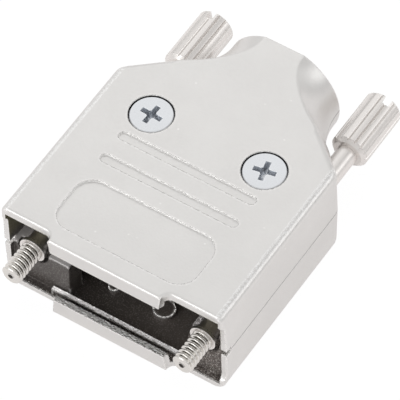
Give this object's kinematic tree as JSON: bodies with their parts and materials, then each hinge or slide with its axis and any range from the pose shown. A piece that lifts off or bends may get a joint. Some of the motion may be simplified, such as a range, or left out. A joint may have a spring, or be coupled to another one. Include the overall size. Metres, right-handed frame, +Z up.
{
  "type": "d-sub hood",
  "caption": "Two-shell die-cast D-subminiature hood with a round straight cable entry, captive jackscrews with fluted thumb knobs, and an inner cable clamp.",
  "frame": {"origin": "centre of the mating face, midway between the two jackscrews, on the plane where the shells part", "axes": "+Y back along the cable and jackscrews, +X to the right as seen from the top with the mouth towards the viewer, +Z up through the screwed shell"},
  "size_m": [0.0324, 0.0467, 0.0152],
  "materials": {
    "shell_metal": "satin nickel plate on a zinc die casting",
    "nickel_steel": "turned, nickel plated",
    "zinc_steel": "bright zinc plated",
    "clamp_steel": "stamped, nickel plated"
  },
  "bodies": {
    "shells": {"top_shell": "shell_metal", "bottom_shell": "shell_metal", "cable_clamp_bar": "clamp_steel", "assembly_screw_left": "zinc_steel", "clamp_screw_left": "zinc_steel", "assembly_screw_right": "zinc_steel", "clamp_screw_right": "zinc_steel"},
    "ring_left": {"retaining_ring_left": "nickel_steel"},
    "screw_left": {"jackscrew_left": "nickel_steel"},
    "ring_right": {"retaining_ring_right": "nickel_steel"},
    "screw_right": {"jackscrew_right": "nickel_steel"}
  },
  "joints": [
    {"name": "jackscrew_left_float", "type": "slide", "parent": "shells", "child": "ring_left", "axis": [0, 1, 0], "range_m": [-0.0013, 0.0007]},
    {"name": "jackscrew_left_turn", "type": "hinge", "parent": "ring_left", "child": "screw_left", "pos_m": [-0.01249, 0, 0], "axis": [0, 1, 0], "continuous": true},
    {"name": "jackscrew_right_float", "type": "slide", "parent": "shells", "child": "ring_right", "axis": [0, 1, 0], "range_m": [-0.0013, 0.0007]},
    {"name": "jackscrew_right_turn", "type": "hinge", "parent": "ring_right", "child": "screw_right", "pos_m": [0.01249, 0, 0], "axis": [0, 1, 0], "continuous": true}
  ]
}
